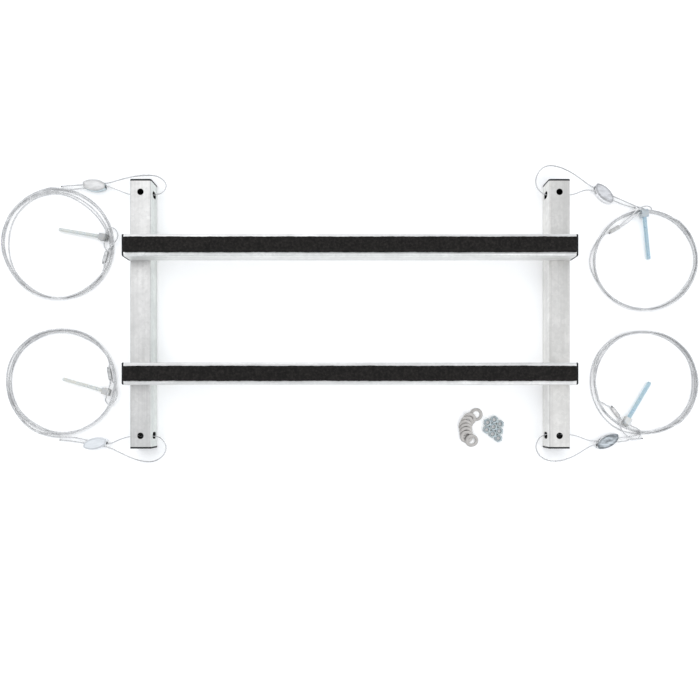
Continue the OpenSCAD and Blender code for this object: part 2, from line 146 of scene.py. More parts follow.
# Each coil: the angle that its turns start at, near the ferrule, the turning direction, and how far
# inside the coil's outer radius the rope lies at each step of its travel (mm). These numbers were
# read off the photo; coil_points settles them.
COIL_LAY = [
    (330, -1, [
        4.4, 6.2, 2.4, 6.2, 7.4, 9.5, 7.9, 7.5, 9.8, 16.5, 15.5, 8.2,
        6.2, 5.6, 2.8, 5.6, 3.9, 0.8, 0.2, 3.3, 6.5, 11.5, 11.2, 6.4,
        5.0, 5.2, 2.0, 1.4, 2.9, -0.4, -0.5, 1.6, 2.9, 5.8, 5.6, 4.0,
        1.2, -0.2, 1.6, 0.8, 2.2, -1.8, -1.2, 0.0, 0.0, 2.2, 2.6, 2.0,
        0.5, 0.2, 1.2, 0.3, 1.6, -3.0, -3.4, -2.5, -1.5,
    ]),
    (150, 1, [
        4.6, 4.4, 4.6, 7.6, 8.0, 9.1, 7.8, 3.2, 4.6, 5.4, 5.2, 5.2,
        5.0, 4.0, 4.2, 6.8, 7.4, 8.6, 7.2, 2.6, 4.0, 4.8, 4.0, 4.4,
        3.6, 3.4, 3.8, 6.0, 6.6, 4.8, 3.2, 1.0, 1.6, 2.2, 2.6, 3.4,
        2.2, -5.0, 3.0, 5.2, 5.8, 4.4, 1.6, -0.4, -1.2, -0.6, 1.2, 2.4,
        1.9, 3.0, 2.6, 4.4, 5.2, 4.0, 1.0, -1.3, -1.9, -1.6,
    ]),
    (30, 1, [
        2.9, 8.2, 7.6, 7.8, 5.8, 6.6, 7.4, 10.6, 8.9, 8.0, 5.8, 4.6,
        3.9, 7.4, 7.9, 6.6, 5.0, 5.8, 6.8, 6.8, 8.0, 7.4, 5.0, 3.8,
        3.2, 3.4, 3.8, 2.4, 4.2, 4.4, 2.4, 6.0, 7.0, 6.8, 4.2, 3.0,
        2.4, 1.4, 3.2, 1.4, 3.2, 1.8, 1.6, 0.2, 5.8, 6.2, 3.2, 2.2,
        1.9, 0.4, 2.6, 0.8, -3.0, -2.0, -1.0, -0.8, 0.5,
    ]),
    (210, -1, [
        5.2, 6.6, 6.2, 3.7, 5.0, 7.3, 6.4, 7.9, 6.0, 6.2, 5.6, 7.6,
        6.6, 6.0, 1.4, 3.1, 4.6, 6.6, 5.8, 7.0, 5.2, 5.4, 5.0, 7.2,
        5.8, 5.4, -0.4, 1.4, 4.2, 4.0, 2.6, 2.8, 0.6, 1.4, 4.2, 6.0,
        5.2, 4.8, -2.0, 0.0, 3.8, 2.0, 1.8, -0.4, -0.4, 0.4, 2.0, -2.1,
        -1.7, -2.1, -3.8, -1.4, 3.4, 1.4, 1.0, -1.1, -1.2, -0.6,
    ]),
]
COIL_STEP = 2  # degrees between the points that are worked out along a coil
# How a coil settles: the rounds, each round's fall in mm, the shares of the way back to the lay and
# towards a smooth line, the share of a push that goes sideways, and the first rise in mm a turn
SETTLE_ROUNDS, SETTLE_FALL = 420, 0.04
SETTLE_PULL, SETTLE_SMOOTHING, SETTLE_SIDEWAYS = 0.15, 0.25, 0.35
FIRST_RISE = 0.5


# ---- Vectors, curves and noise ----
def heading(angle):
    """The level direction at an angle in degrees."""
    a = math.radians(angle)
    return np.array([math.cos(a), math.sin(a), 0.0])


def left_of(angle):
    """The level direction to the left of a heading."""
    return heading(angle + 90)


def spline(points, step):
    """Points at an even step along a centripetal Catmull-Rom curve through the given points."""
    p = np.asarray(points, float)
    p = np.vstack([2 * p[0] - p[1], p, 2 * p[-1] - p[-2]])
    dense = []
    for i in range(1, len(p) - 2):
        a, b, c, d = p[i - 1 : i + 3]
        t0 = 0.0
        t1 = t0 + math.sqrt(max(np.linalg.norm(b - a), 1e-6))
        t2 = t1 + math.sqrt(max(np.linalg.norm(c - b), 1e-6))
        t3 = t2 + math.sqrt(max(np.linalg.norm(d - c), 1e-6))
        count = max(2, int(np.linalg.norm(c - b) / step * 3))
        t = np.linspace(t1, t2, count, endpoint=False)[:, None]
        a1 = (t1 - t) / (t1 - t0) * a + (t - t0) / (t1 - t0) * b
        a2 = (t2 - t) / (t2 - t1) * b + (t - t1) / (t2 - t1) * c
        a3 = (t3 - t) / (t3 - t2) * c + (t - t2) / (t3 - t2) * d
        b1 = (t2 - t) / (t2 - t0) * a1 + (t - t0) / (t2 - t0) * a2
        b2 = (t3 - t) / (t3 - t1) * a2 + (t - t1) / (t3 - t1) * a3
        dense.append((t2 - t) / (t2 - t1) * b1 + (t - t1) / (t2 - t1) * b2)
    dense.append(p[-2][None, :])
    dense = np.vstack(dense)
    along = np.concatenate([[0], np.cumsum(np.linalg.norm(np.diff(dense, axis=0), axis=1))])
    even = np.linspace(0, along[-1], max(2, int(round(along[-1] / step)) + 1))
    return np.stack([np.interp(even, along, dense[:, k]) for k in range(3)], axis=1)


def ring_angles(count):
    """Angles evenly round a circle, in radians."""
    return np.linspace(0, 2 * math.pi, count, endpoint=False)


def wobble(x, seed, waves, shortest, longest):
    """A smooth random line along x, about 1 high: a few sines with fixed random phases."""
    rng = np.random.default_rng(SEED + seed)
    total = np.zeros_like(np.asarray(x, float))
    for length in np.geomspace(shortest, longest, waves):
        total += np.sin(2 * math.pi * x / length + rng.uniform(0, 2 * math.pi))
    return total / math.sqrt(waves)


# ---- Meshes ----
def new_object(name, verts_mm, faces, material, body, smooth_angle=40.0):
    """A mesh object from vertices in mm, with its normals outwards and its sharp edges kept."""
    mesh = bpy.data.meshes.new(name)
    mesh.from_pydata((np.asarray(verts_mm) * MM).tolist(), [], faces)
    clean = bmesh.new()
    clean.from_mesh(mesh)
    bmesh.ops.recalc_face_normals(clean, faces=clean.faces)
    clean.to_mesh(mesh)
    clean.free()
    mesh.shade_smooth()
    mesh.set_sharp_from_angle(angle=math.radians(smooth_angle))
    mesh.materials.append(material)
    obj = bpy.data.objects.new(name, mesh)
    bpy.context.scene.collection.objects.link(obj)
    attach(obj, body)
    return obj


def grid_faces(rows, columns, close_rows=False):
    """The quads of a grid of rows by columns, closed round the columns, and round the rows if told."""
    faces = []
    for i in range(rows if close_rows else rows - 1):
        for j in range(columns):
            a, b = i * columns, ((i + 1) % rows) * columns
            k = (j + 1) % columns
            faces.append((a + j, a + k, b + k, b + j))
    return faces


def capped(rows, columns):
    """grid_faces for a closed solid: a ring of columns for each row, with both ends capped."""
    last = (rows - 1) * columns
    ends = [tuple(range(columns)), tuple(last + j for j in range(columns))]
    return grid_faces(rows, columns) + ends


def merge(parts):
    """Several (vertices, faces) as one."""
    verts, faces, start = [], [], 0
    for v, f in parts:
        verts.append(np.asarray(v, float))
        faces += [tuple(start + i for i in face) for face in f]
        start += len(v)
    return np.vstack(verts), faces


def lathe(profile, segments):
    """A closed ring solid about Z: profile is a closed loop of (radius, height)."""
    angles = ring_angles(segments)
    rows = [[(r * math.cos(a), r * math.sin(a), z) for r, z in profile] for a in angles]
    return np.array(rows).reshape(-1, 3), grid_faces(segments, len(profile), close_rows=True)


def turned(verts, angle, axis="z"):
    """Points turned about an axis by an angle in degrees."""
    a = math.radians(angle)
    c, s = math.cos(a), math.sin(a)
    m = {
        "x": [[1, 0, 0], [0, c, -s], [0, s, c]],
        "y": [[c, 0, s], [0, 1, 0], [-s, 0, c]],
        "z": [[c, -s, 0], [s, c, 0], [0, 0, 1]],
    }[axis]
    return np.asarray(verts) @ np.array(m).T


def sweep_frames(path):
    """Directions across a path that turn with it as little as they can."""
    along = np.gradient(path, axis=0)
    along /= np.linalg.norm(along, axis=1)[:, None]
    across = np.zeros_like(path)
    start = np.cross(along[0], [0, 0, 1])
    across[0] = start / max(np.linalg.norm(start), 1e-9)
    for i in range(1, len(path)):
        v = across[i - 1] - np.dot(across[i - 1], along[i]) * along[i]
        across[i] = v / np.linalg.norm(v)
    return across, np.cross(along, across)


def swept(path, radius, angles):
    """A ring of points round each point of a path, at a radius and at angles from its side."""
    across, up = sweep_frames(path)
    rings = path[:, None, :] + (radius * np.cos(angles))[..., None] * across[:, None, :]
    rings = rings + (radius * np.sin(angles))[..., None] * up[:, None, :]
    return rings.reshape(-1, 3)


def add_values(obj, name, values):
    """Gives each vertex a number that a material can read."""
    obj.data.attributes.new(name, "FLOAT", "POINT").data.foreach_set("value", np.asarray(values, np.float32))


# ---- Materials ----
class Shader:
    """A procedural material, built from a few kinds of node joined by name."""

    def __init__(self, name):
        self.material = bpy.data.materials.new(name)
        self.material.use_nodes = True
        self.tree = self.material.node_tree
        self.tree.nodes.clear()
        self.out = self.tree.nodes.new("ShaderNodeOutputMaterial")
        self.bsdf = self.tree.nodes.new("ShaderNodeBsdfPrincipled")
        self.link(self.bsdf.outputs[0], self.out.inputs[0])
        self.place = self.tree.nodes.new("ShaderNodeTexCoord").outputs["Object"]

    def link(self, a, b):
        self.tree.links.new(a, b)

    def scaled(self, scale):
        """Object coordinates times a scale, which may differ by axis."""
        node = self.tree.nodes.new("ShaderNodeMapping")
        node.inputs["Scale"].default_value = (scale,) * 3 if isinstance(scale, (int, float)) else scale
        self.link(self.place, node.inputs["Vector"])
        return node.outputs[0]

    def noise(self, scale, detail=4.0, roughness=0.55, vector=None):
        """Cloudy noise, 0 to 1, over the object's coordinates or over a stretched vector."""
        node = self.tree.nodes.new("ShaderNodeTexNoise")
        node.inputs["Scale"].default_value = scale if vector is None else 1.0
        node.inputs["Detail"].default_value = detail
        node.inputs["Roughness"].default_value = roughness
        self.link(self.place if vector is None else vector, node.inputs["Vector"])
        return node.outputs["Fac"]

    def cells(self, scale, output="Distance"):
        """Cells: the distance to each one's middle, or a colour for each."""
        node = self.tree.nodes.new("ShaderNodeTexVoronoi")
        node.inputs["Scale"].default_value = scale
        self.link(self.place, node.inputs["Vector"])
        return node.outputs[output]

    def tube_masks(self, across, centre):
        """Two masks on a square tube: 1 on the walls inside it, and 1 on its outer side walls."""
        split = self.tree.nodes.new("ShaderNodeSeparateXYZ")
        self.link(self.place, split.inputs[0])
        away = [
            self.math("ABSOLUTE", self.math("SUBTRACT", split.outputs[axis.upper()], at * MM), 0.0)
            for axis, at in zip((across, "z"), centre)
        ]
        inner, outer = BORE_W / 2 * MM, TUBE_W / 2 * MM
        bore_edge = (inner + 0.0003, outer - 0.0008)  # both inside the wall's thickness
        side_edge = (outer - 0.0016, outer - 0.0002)
        bore = self.remap(self.math("MAXIMUM", *away), *bore_edge, 1, 0)
        return bore, self.remap(away[0], *side_edge)

    def attribute(self, name):
        """A number that add_values gave each vertex."""
        node = self.tree.nodes.new("ShaderNodeAttribute")
        node.attribute_name = name
        return node.outputs["Fac"]

    def remap(self, value, low, high, to_low=0.0, to_high=1.0):
        node = self.tree.nodes.new("ShaderNodeMapRange")
        ends = {"From Min": low, "From Max": high, "To Min": to_low, "To Max": to_high}
        for socket, number in ends.items():
            node.inputs[socket].default_value = number
        self.link(value, node.inputs["Value"])
        return node.outputs[0]

    def math(self, operation, a, b):
        node = self.tree.nodes.new("ShaderNodeMath")
        node.operation = operation
        for socket, value in zip(node.inputs, (a, b)):
            if isinstance(value, (int, float)):
                socket.default_value = value
            else:
                self.link(value, socket)
        return node.outputs[0]

    def mix(self, factor, a, b):
        """A colour between a and b, each a colour or a socket."""
        node = self.tree.nodes.new("ShaderNodeMix")
        node.data_type = "RGBA"
        for socket, value in ((node.inputs[0], factor), (node.inputs[6], a), (node.inputs[7], b)):
            if isinstance(value, (int, float)):
                socket.default_value = value
            elif isinstance(value, tuple):
                socket.default_value = (*value, 1.0)
            else:
                self.link(value, socket)
        return node.outputs[2]

    def bump(self, height, strength, distance, under=None):
        """A normal raised by a height, over another normal if there is one."""
        node = self.tree.nodes.new("ShaderNodeBump")
        node.inputs["Strength"].default_value = strength
        node.inputs["Distance"].default_value = distance
        self.link(height, node.inputs["Height"])
        if under is not None:
            self.link(under, node.inputs["Normal"])
        return node.outputs[0]

    def finish(self, colour, roughness, normal=None, metallic=0.0, **sockets):
        """Sets the surface, each socket to a colour, a number or another node's output."""
        named = {"Base Color": colour, "Roughness": roughness, "Metallic": metallic, **sockets}
        for name, value in named.items():
            socket = self.bsdf.inputs[name]
            if isinstance(value, tuple):
                socket.default_value = (*value, 1.0)
            elif isinstance(value, (int, float)):
                socket.default_value = value
            else:
                self.link(value, socket)
        if normal is not None:
            self.link(normal, self.bsdf.inputs["Normal"])
        return self.material


def galvanised(name, along, centre, top_and_painted_wall_tints):
    """Galvanised tube: mottled spangle, drawing lines and long darker bands; the bore is dull and painted
    near black, as painted shade inside the tube.
    centre is the tube's axis in mm: its place across the floor, and its height. It takes two colours,
    for its top and for its side walls; the walls' colour is a painted reflection of the floor, much lighter
    on the cross tubes."""
    s = Shader(name)
    stretched = {"x": (6, 900, 900), "y": (900, 6, 900)}[along]
    banded = {"x": (1.5, 110, 110), "y": (110, 1.5, 110)}[along]
    lines = s.noise(1, 3, 0.6, s.scaled(stretched))
    bands = s.noise(1, 4, 0.6, s.scaled(banded))
    patches = s.noise(26, 5, 0.6)
    spangle = s.cells(210, output="Color")
    fine = s.noise(2600, 3, 0.6)
    bore, side_wall_painted_reflection = s.tube_masks("y" if along == "x" else "x", centre)
    # The side walls take the second colour: a painted reflection of the bright floor
    tint = s.mix(side_wall_painted_reflection, *top_and_painted_wall_tints)
    dark = s.mix(side_wall_painted_reflection, *(tuple(0.76 * c for c in shade) for shade in top_and_painted_wall_tints))
    colour = s.mix(s.remap(patches, 0.38, 0.72, 0, 0.6), tint, dark)
    colour = s.mix(s.remap(bands, 0.46, 0.62, 0, 0.6), colour, dark)
    colour = s.mix(s.remap(spangle, 0.25, 0.8, 0, 0.42), colour, dark)
    colour = s.mix(s.remap(lines, 0.62, 0.8, 0, 0.22), colour, (0.46, 0.47, 0.48))
    # Painted shade: the walls inside the bore are coloured near black
    colour = s.mix(bore, colour, (0.035, 0.034, 0.033))
    rough = s.math("ADD", s.remap(patches, 0.3, 0.75, 0.38, 0.54), s.remap(lines, 0.3, 0.7, -0.05, 0.05))
    normal = s.bump(lines, 0.25, 0.00006)
    normal = s.bump(fine, 0.12, 0.00004, normal)
    return s.finish(colour, rough, normal, 0.7)


def foam():
    """Closed-cell foam: matt black skin with open pores and a little pale dust."""
    s = Shader("foam")
    pores = s.cells(1500)
    coarse = s.cells(520)
    soft = s.noise(90, 4)
    grain = s.noise(240, 5, 0.7)
    dust = s.noise(420, 6, 0.7)
    colour = s.mix(s.remap(soft, 0.35, 0.7), (0.008, 0.0075, 0.007), (0.015, 0.014, 0.013))
    colour = s.mix(s.remap(grain, 0.45, 0.7, 0, 0.8), colour, (0.033, 0.029, 0.027))
    colour = s.mix(s.remap(dust, 0.68, 0.84, 0, 0.16), colour, (0.09, 0.09, 0.094))
    normal = s.bump(s.remap(pores, 0.0, 0.5), 0.7, 0.00022)
    normal = s.bump(s.remap(coarse, 0.0, 0.45), 0.35, 0.0003, normal)
    return s.finish(colour, s.remap(soft, 0.3, 0.7, 0.84, 0.97), normal, **{"Specular IOR Level": 0.14})


def moulded_plastic():
    """Black moulded plastic with a spark-eroded grain and pale scuffs."""
    s = Shader("plug_plastic")
    grain = s.noise(2200, 4, 0.65)
    scuffs = s.noise(1, 4, 0.7, s.scaled((260, 900, 260)))
    soft = s.noise(60, 3)
    colour = s.mix(s.remap(soft, 0.3, 0.7), (0.010, 0.010, 0.011), (0.020, 0.020, 0.022))
    colour = s.mix(s.remap(scuffs, 0.66, 0.8, 0, 0.3), colour, (0.10, 0.10, 0.105))
    normal = s.bump(grain, 0.4, 0.00008)
    return s.finish(colour, s.remap(scuffs, 0.3, 0.75, 0.42, 0.62), normal, **{"Specular IOR Level": 0.22})


def zinc_plate(name, tint):
    """Bright zinc plate: a blue tint that wanders, fine dulling and scratches, and thread roots darkened as
    painted shade.
    """
    s = Shader(name)
    cloud = s.noise(170, 4)
    fine = s.noise(3200, 4, 0.65)
    scratches = s.noise(1, 2, 0.5, s.scaled((2600, 240, 900)))
    warm = tuple(c * w for c, w in zip(tint, (1.06, 1.0, 0.92)))
    colour = s.mix(s.remap(cloud, 0.35, 0.68), tint, warm)
    colour = s.mix(s.remap(scratches, 0.6, 0.78, 0, 0.35), colour, (0.42, 0.45, 0.48))
    # Painted shade: the roots of a thread are darkened by their depth
    colour = s.mix(s.remap(s.attribute("groove"), 0.3, 1.0, 0, 0.62), colour, tuple(0.36 * c for c in tint))
    rough = s.math("ADD", s.remap(cloud, 0.3, 0.7, 0.24, 0.36), s.remap(fine, 0.3, 0.7, -0.04, 0.06))
    normal = s.bump(fine, 0.18, 0.00005)
    return s.finish(colour, rough, normal, 0.92)


def tumbled_steel():
    """Plain stamped washers, tumbled: slightly warm, satin, with short scratches every way."""
    s = Shader("bright_steel")
    cloud = s.noise(120, 4)
    one_way = s.noise(1, 2, 0.5, s.scaled((3400, 300, 900)))
    other_way = s.noise(1, 2, 0.5, s.scaled((320, 3000, 900)))
    both = s.math("MAXIMUM", one_way, other_way)
    colour = s.mix(s.remap(cloud, 0.35, 0.7), (0.48, 0.46, 0.44), (0.37, 0.355, 0.34))
    colour = s.mix(s.remap(both, 0.64, 0.8, 0, 0.4), colour, (0.27, 0.26, 0.25))
    rough = s.remap(both, 0.35, 0.75, 0.30, 0.48)
    return s.finish(colour, rough, s.bump(both, 0.2, 0.00005), 0.9)


def die_cast(name, tone, mark):
    """Zinc die casting: fine orange peel, flow marks and darker dirt in the low places. The flow marks
    are as dark as mark times the tone."""
    s = Shader(name)
    peel = s.noise(900, 3, 0.5)
    flow = s.noise(1, 4, 0.6, s.scaled((70, 190, 190)))
    fine = s.noise(4200, 3, 0.6)
    dark = tuple(mark * c for c in tone)
    colour = s.mix(s.remap(flow, 0.4, 0.62), tone, dark)
    colour = s.mix(s.remap(peel, 0.6, 0.8, 0, 0.25), colour, tuple(0.5 * c for c in tone))
    rough = s.math("ADD", s.remap(flow, 0.3, 0.7, 0.36, 0.5), s.remap(fine, 0.3, 0.7, -0.05, 0.05))
    normal = s.bump(peel, 0.3, 0.00012)
    normal = s.bump(fine, 0.2, 0.00004, normal)
    return s.finish(colour, rough, normal, 0.75)


def wire_rope():
    """Galvanised strands: grooves between the strands darkened as painted shade, duller in places along the
    rope, cut ends dark.
    """
    s = Shader("rope")
    groove = s.attribute("groove")
    cut = s.attribute("cut_end")
    stain = s.noise(55, 4, 0.6)
    wires = s.noise(4200, 2, 0.6)
    colour = s.mix(s.remap(stain, 0.38, 0.72), (0.88, 0.88, 0.88), (0.68, 0.68, 0.685))
    colour = s.mix(s.remap(wires, 0.55, 0.75, 0, 0.3), colour, (0.44, 0.44, 0.445))
    # Painted shade: the grooves between the strands are darkened by their depth
    colour = s.mix(s.remap(groove, 0.3, 1.0, 0, 0.72), colour, (0.11, 0.11, 0.112))
    colour = s.mix(cut, colour, (0.045, 0.043, 0.042))
    normal = s.bump(wires, 0.5, 0.00008)
    return s.finish(colour, s.remap(stain, 0.3, 0.7, 0.2, 0.36), normal, 0.88)


def crimped_aluminium(name, base):
    """Aluminium sleeve: satin, with die lines and dull dents."""
    s = Shader(name)
    cloud = s.noise(260, 4)
    lines = s.noise(1, 3, 0.6, s.scaled((900, 900, 3600)))
    colour = s.mix(s.remap(cloud, 0.35, 0.7), base, tuple(0.76 * c for c in base))
    colour = s.mix(s.remap(lines, 0.6, 0.8, 0, 0.3), colour, tuple(0.5 * c for c in base))
    normal = s.bump(lines, 0.3, 0.00006)
    return s.finish(colour, s.remap(cloud, 0.3, 0.7, 0.32, 0.48), normal, 0.9)


def hardened_steel(name, base):
    """Hardened steel: satin, with darker clouds."""
    s = Shader(name)
    cloud = s.noise(300, 4)
    fine = s.noise(3600, 3)
    colour = s.mix(s.remap(cloud, 0.35, 0.7), base, tuple(0.6 * c for c in base))
    return s.finish(colour, s.remap(cloud, 0.3, 0.7, 0.28, 0.44), s.bump(fine, 0.2, 0.00005), 0.95)


def pale_floor():
    """A white paper floor, lit a little by itself so that it stays white at the edges."""
    s = Shader("floor")
    return s.finish(
        (0.93, 0.93, 0.93), 0.9, **{"Emission Color": (1.0, 1.0, 1.0), "Emission Strength": 0.16}
    )


# ---- Wire ropes ----
STRANDS = 6
STRAND_R, STRAND_AT = 0.4, 0.8  # a strand's radius, and how far its middle is from the rope's
ROPE_LAY = 17.0  # mm of rope in which the strands go once round
ROPE_SIDES, ROPE_STEP = 24, 1.2  # points round the rope, and mm between them along it
CUT_FADE, CUT_FADE_POWER = 3.0, 0.6  # mm of rope that is dark behind a cut end, and how it fades


def straight_run(centre, angle, side, a, b):
    """Two points on a straight line that passes a centre, side mm to its left."""
    return [tuple(np.array(centre) + t * heading(angle) + side * left_of(angle)) for t in (a, b)]


def grip_run(c, side, a, b):
    """Two points on one of a grip's channels."""
    return straight_run((*GRIP_PLACE[c], GRIP_H / 2), GRIP_ANGLE[c], side * CHANNEL_Y, a, b)


def ferrule_line(c, side, a, b):
    """Two points on one of the two bars of rope in a ferrule."""
    place = (*FERRULE_PLACE[c], FERRULE_Z)
    return straight_run(place, FERRULE_ANGLE[c], side * FERRULE_HALF_PITCH, a, b)


def pivot_line(c):
    """The two points where the eye enters and leaves its stud's head."""
    middle, side = np.array(STUD_PIVOT[c], float), EYE_ENTRY_SIDE[c] * PIVOT_RUN
    return [tuple(middle + s * side * left_of(STUD_ANGLE[c])) for s in (1, -1)]


def lead_route(c):
    """From the cut end, through the grip, round the cross tube's end, and back to the coil."""
    tail = grip_run(c, -STANDING_SIDE[c], RUN_COIL_END, RUN_LOOP_END)
    standing = grip_run(c, STANDING_SIDE[c], RUN_LOOP_END, RUN_COIL_END)
    return TAIL_POINTS[c] + tail + LOOP_POINTS[c] + standing + JOIN_POINTS[c]


def eye_route(c):
    """From the coil, through the ferrule and the stud's head, and back into the ferrule."""
    out = ferrule_line(c, FERRULE_SIDE[c], -FERRULE_RUN, FERRULE_RUN)
    back = ferrule_line(c, -FERRULE_SIDE[c], FERRULE_RUN, -STUB_RUN)
    return EYE_START_POINTS[c] + out + EYE_OUT_POINTS[c] + pivot_line(c) + EYE_BACK_POINTS[c] + back


def coil_points(c, start_z, end_z):
    """The turns of a coil: COIL_LAY's radii, settled by a loop so that turns rest on each other."""
    start, turning, lay = COIL_LAY[c]
    travel = np.arange(0, LAY_STEP * (len(lay) - 1) + 1, COIL_STEP, dtype=float)
    knots = np.column_stack([np.arange(len(lay)) * LAY_STEP, lay, np.zeros(len(lay))])
    curve = spline(knots, 1.0)
    target = COIL_R[c] - ROPE_D / 2 - np.interp(travel, curve[:, 0], curve[:, 1])
    radius = target.copy()
    z = ROPE_D / 2 + FIRST_RISE * (travel / 360)
    turn = int(360 / COIL_STEP)
    for _ in range(SETTLE_ROUNDS):
        z -= SETTLE_FALL
        radius += SETTLE_PULL * (target - radius)
        for laps in range(1, len(travel) // turn + 1):
            dr = radius[turn * laps :] - radius[: -turn * laps]
            dz = z[turn * laps :] - z[: -turn * laps]
            gap = np.maximum(np.hypot(dr, dz), 1e-6)
            push = 0.5 * np.maximum(0, ROPE_D - gap) / gap
            radius[turn * laps :] += push * dr * SETTLE_SIDEWAYS
            radius[: -turn * laps] -= push * dr * SETTLE_SIDEWAYS
            z[turn * laps :] += push * dz
            z[: -turn * laps] -= push * dz
        z = np.maximum(z, ROPE_D / 2)
        for values in (radius, z):
            values[1:-1] += SETTLE_SMOOTHING * (values[:-2] + values[2:] - 2 * values[1:-1])
        z[0], z[-1] = start_z, end_z
        radius[0], radius[-1] = target[0], target[-1]
    angles = np.radians(start + turning * travel)
    x = COIL_CENTRE[c][0] + radius * np.cos(angles)
    y = COIL_CENTRE[c][1] + radius * np.sin(angles)
    return list(zip(x, y, z))


def rope_centreline(c):
    """The whole rope, from the stub in the ferrule to the cut end beyond the grip."""
    eye = eye_route(c)[::-1]
    lead = lead_route(c)[::-1]
    turns = coil_points(c, eye[-1][2], lead[0][2])
    trim, stride = 4, 2  # points left off at each end of the coil, and the step between those kept
    return spline(eye[:-1] + turns[trim:-trim:stride] + lead, ROPE_STEP)


def strand_radius(angle):
    """The outline of six strands round a core, at an angle in radians."""
    lobe = 2 * math.pi / STRANDS
    a = (angle + lobe / 2) % lobe - lobe / 2
    inside = np.maximum(0, STRAND_R**2 - (STRAND_AT * np.sin(a)) ** 2)
    return STRAND_AT * np.cos(a) + np.sqrt(inside)


def make_rope(c, material):
    """One wire rope, with its strands, grooves darkened as painted shade, and cut ends."""
    path = rope_centreline(c)
    n = len(path)
    along = np.arange(n) * ROPE_STEP
    around = ring_angles(ROPE_SIDES)
    radius = strand_radius(around)
    turn = 2 * math.pi * along / ROPE_LAY
    verts = swept(path, radius, around + turn[:, None])
    obj = new_object(f"{CORNERS[c]}_rope", verts, capped(n, ROPE_SIDES), material, "root", 75)
    # How deep each point lies between the strands; the material paints shade in the grooves by it
    deep = (radius.max() - radius) / (radius.max() - radius.min())
    add_values(obj, "groove", np.tile(deep, n))
    cut = np.clip(1.0 - np.minimum(along, along[::-1]) / CUT_FADE, 0, 1) ** CUT_FADE_POWER
    add_values(obj, "cut_end", np.repeat(cut, ROPE_SIDES))
    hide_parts(*[f"{CORNERS[c]}_{n}" for n in ("cable_lead", "cable_coil", "cable_eye")])


# ---- Fittings on the ropes ----
def stadium(half_pitch, radius, sides):
    """The outline of two round bars side by side, filled between."""
    points = []
    for k in range(sides):
        a = 2 * math.pi * k / sides
        shift = half_pitch if math.cos(a) > 0 else -half_pitch
        points.append((shift + radius * math.cos(a), radius * math.sin(a)))
    return np.array(points)


def make_ferrule(c, material):
    """A crimped oval sleeve: three pressed bands between fuller ribs, and rolled ends."""
    steps, sides, bands = 64, 40, 3
    roll, roll_len = 0.35, 0.9  # the share of its size that an end loses, over so many mm
    plain_end, press_power = 1.5, 0.7  # mm at each end without a band, and how square the bands are
    pressed_down, pressed_out = 0.13, 0.04
    x = np.linspace(-FERRULE_LEN / 2, FERRULE_LEN / 2, steps)
    outline = stadium(FERRULE_HALF_PITCH, 1.0, sides)
    rings = []
    for t in x:
        from_end = FERRULE_LEN / 2 - abs(t)
        end = 1 - roll * max(0.0, 1 - from_end / roll_len) ** 2
        wave = math.cos(math.pi * bands * t / (FERRULE_LEN - 2 * plain_end))
        pressed = max(0.0, wave) ** press_power if from_end > plain_end else 0
        height = FERRULE_R * end * (1 - pressed_down * pressed)
        width = FERRULE_R * end * (1 + pressed_out * pressed)
        shape = outline.copy()
        round_part = shape[:, 0] - np.sign(shape[:, 0]) * FERRULE_HALF_PITCH
        shape[:, 0] = np.sign(shape[:, 0]) * FERRULE_HALF_PITCH + round_part * width
        shape[:, 1] *= height
        rings.append(np.column_stack([np.full(sides, t), shape]))
    verts = turned(np.vstack(rings), FERRULE_ANGLE[c]) + np.array([*FERRULE_PLACE[c], FERRULE_Z])
    obj = new_object(f"{CORNERS[c]}_ferrule_sleeve", verts, capped(steps, sides), material, "root")
    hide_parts(f"{CORNERS[c]}_ferrule")


def leaf_outline(twist, inset, sides=120):
    """A grip's outline, set in from the CAD outline: two arcs, cut square to the channels, with the
    corners between them rounded off."""
    radius = (GRIP_TIP_LEN**2 + GRIP_W**2) / (4 * GRIP_W)
    shift = radius - GRIP_W / 2
    radius -= inset
    around = ring_angles(sides)
    reaches = [(GRIP_LEN / 2 - inset) / np.maximum(np.abs(np.cos(around)), 1e-4)]
    for side in (1, -1):
        towards = side * shift * np.sin(around - math.radians(twist))
        reaches.append(towards + np.sqrt(towards**2 + radius**2 - shift**2))
    sharpness = 18
    reach = sum(r**-sharpness for r in reaches) ** (-1 / sharpness)
    return np.column_stack([reach * np.cos(around), reach * np.sin(around)])


# The rim slot gets a darker tone as painted shade, and the wall slot a tone that is a painted reflection of
# the floor
PANEL, RIM_PAINTED_SHADE, WALL_PAINTED_REFLECTION = 0, 1, 2  # the grips' material slots


